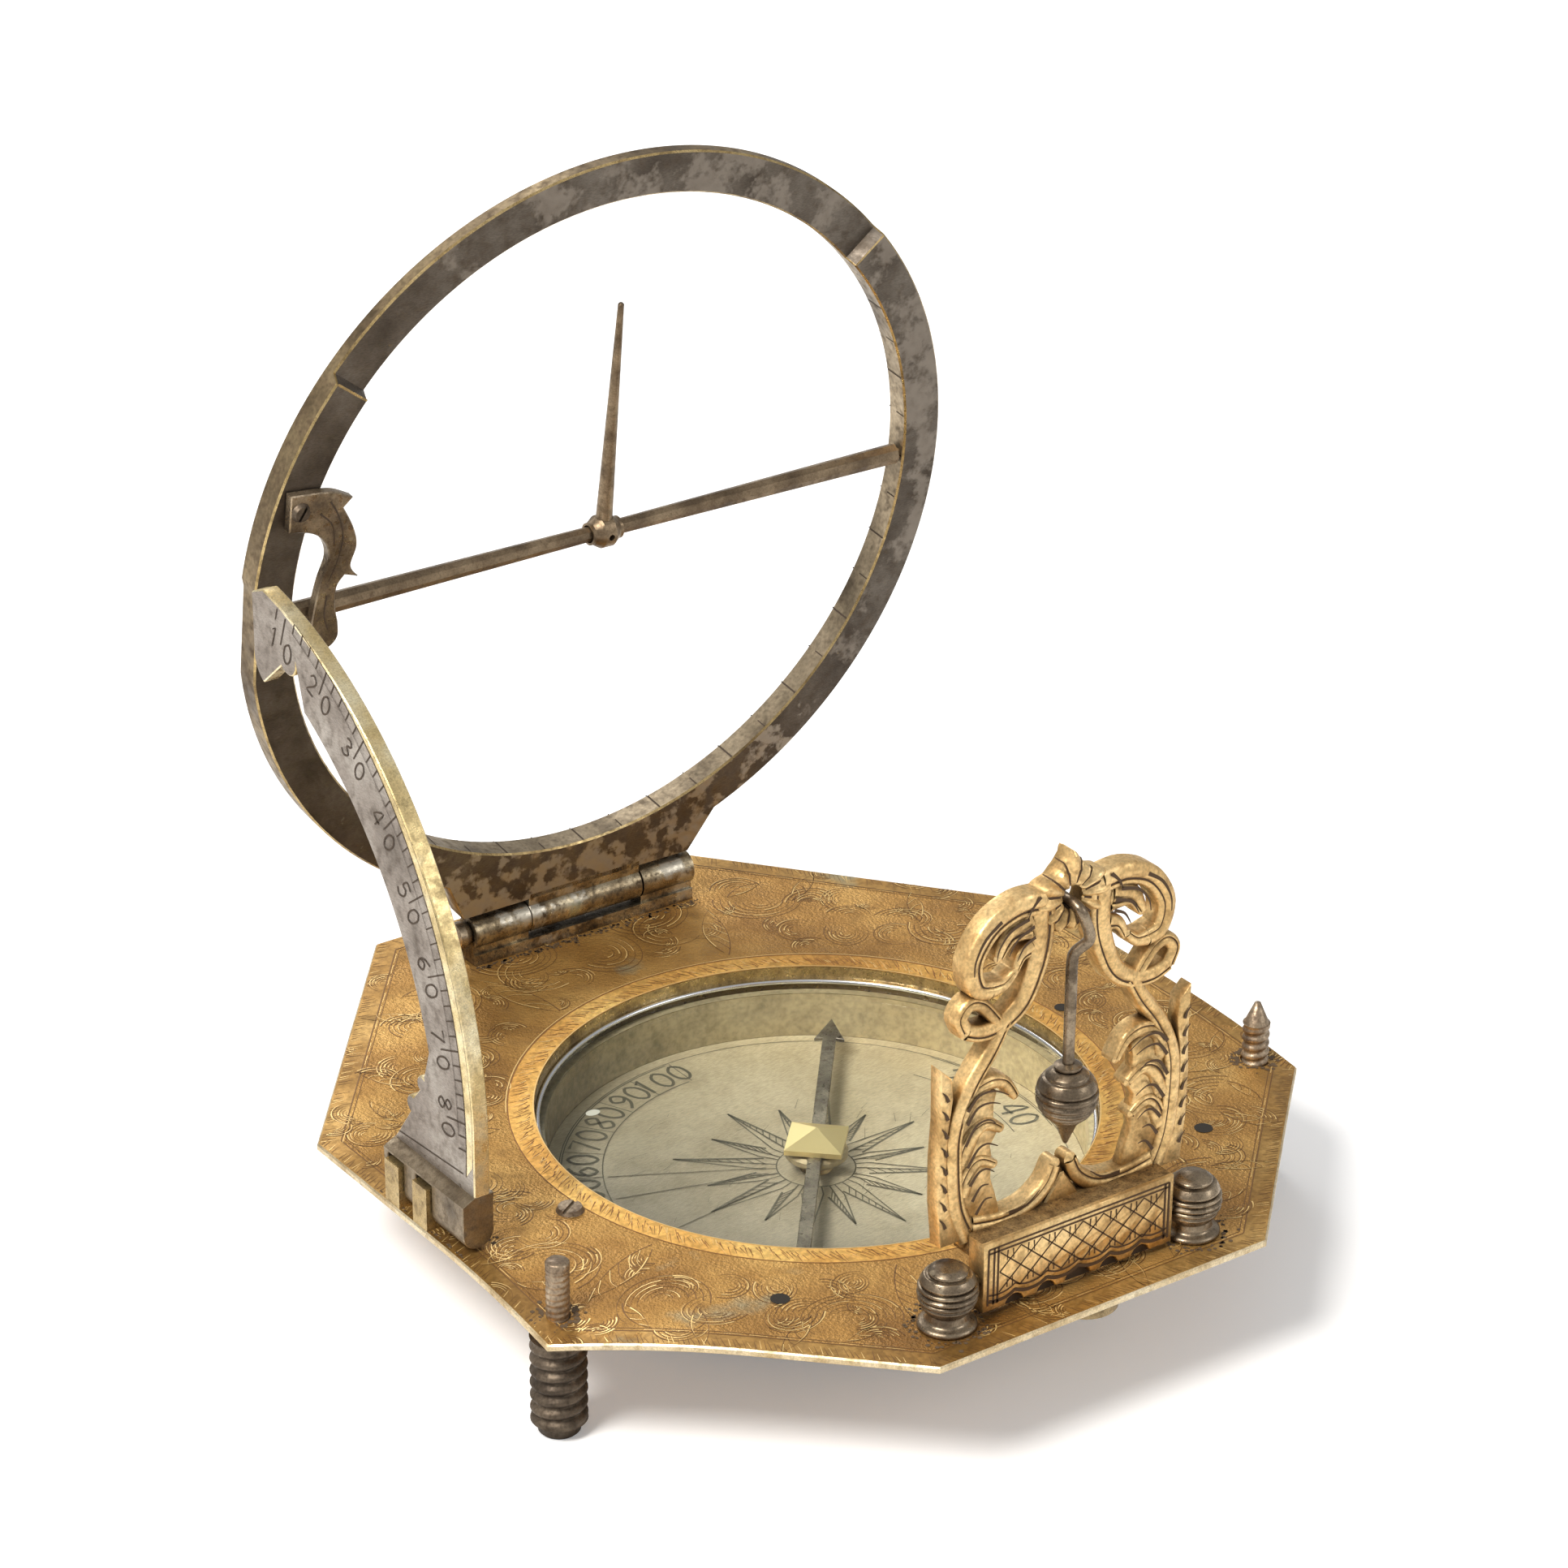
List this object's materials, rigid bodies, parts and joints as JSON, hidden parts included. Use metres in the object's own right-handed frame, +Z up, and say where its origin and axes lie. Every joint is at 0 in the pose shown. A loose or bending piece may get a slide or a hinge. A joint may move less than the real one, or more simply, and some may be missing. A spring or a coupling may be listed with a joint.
{
  "type": "equatorial sundial",
  "caption": "Pocket equatorial sundial: octagonal plate with glazed compass, hinged hour ring with gnomon, folding latitude arc, scrollwork stand with plumb bob, levelling screws.",
  "frame": {"origin": "on the table under the middle of the octagonal plate; the levelling screws' toes stand on z = 0", "axes": "+X east along the hour ring's hinge, +Y north towards that hinge, +Z up"},
  "size_m": [0.058, 0.0636, 0.0656],
  "materials": {
    "gilt_brass": "worn gilt, engraved",
    "brass": "aged, satin",
    "dark_brass": "darkened, satin",
    "silvered_brass": "worn silvering, satin",
    "silvered_card": "grey-green silvering, engraved",
    "blued_steel": "dark blued",
    "wire_steel": "bright wire",
    "glass": "clear"
  },
  "bodies": {
    "base": {"base_plate": "gilt_brass", "compass_box": "brass", "compass_card": "silvered_card", "compass_glass": "glass", "glass_ring": "wire_steel", "needle_pivot": "brass", "box_screw": "dark_brass", "ring_hinge_leaf": "brass", "ring_hinge_pin": "dark_brass", "hinge_rivets": "brass", "arc_hinge_lugs": "gilt_brass", "arc_hinge_pin": "brass", "stand_posts": "dark_brass", "stand_pivot_pins": "brass", "stand_spring": "brass", "stand_spring_screw": "dark_brass"},
    "needle": {"compass_needle": "blued_steel", "needle_cap": "gilt_brass"},
    "ring": {"hour_ring": "silvered_brass", "gnomon_spring": "dark_brass", "gnomon_spring_screw": "dark_brass"},
    "gnomon": {"gnomon_bar": "brass", "gnomon_hub": "brass", "gnomon_pin": "brass"},
    "arc": {"latitude_arc": "silvered_brass"},
    "stand": {"plumb_stand": "gilt_brass"},
    "bob": {"bob_hook": "dark_brass", "plumb_bob": "dark_brass"},
    "foot_west": {"levelling_screw_west": "dark_brass"},
    "foot_east": {"levelling_screw_east": "dark_brass"},
    "foot_north": {"levelling_screw_north": "dark_brass"}
  },
  "joints": [
    {"name": "needle_turn", "type": "hinge", "parent": "base", "child": "needle", "pos_m": [0, -0.00235, 0.005], "axis": [0, 0, 1], "continuous": true},
    {"name": "ring_fold", "type": "hinge", "parent": "base", "child": "ring", "pos_m": [0, 0.02605, 0.0108], "axis": [1, 0, 0], "range_deg": [-10, 55]},
    {"name": "gnomon_turn", "type": "hinge", "parent": "ring", "child": "gnomon", "pos_m": [0.0003, 0.0223, 0.03925], "axis": [-1, 0, 0], "range_deg": [-90, 90]},
    {"name": "arc_fold", "type": "hinge", "parent": "base", "child": "arc", "pos_m": [-0.0275, -0.00185, 0.0099], "axis": [0, 1, 0], "range_deg": [0, 90]},
    {"name": "stand_fold", "type": "hinge", "parent": "base", "child": "stand", "pos_m": [0, -0.02825, 0.011], "axis": [-1, 0, 0], "range_deg": [0, 90]},
    {"name": "bob_swing", "type": "hinge", "parent": "stand", "child": "bob", "pos_m": [0, -0.0266, 0.03336], "axis": [0, 1, 0], "range_deg": [-7, 7]},
    {"name": "foot_west_turn", "type": "slide", "parent": "base", "child": "foot_west", "axis": [0, 0, 1], "range_m": [-0.0025, 0.0002]},
    {"name": "foot_east_turn", "type": "slide", "parent": "base", "child": "foot_east", "axis": [0, 0, 1], "range_m": [-0.0025, 0.0002]},
    {"name": "foot_north_turn", "type": "slide", "parent": "base", "child": "foot_north", "axis": [0, 0, 1], "range_m": [-0.0025, 0.0002]}
  ]
}
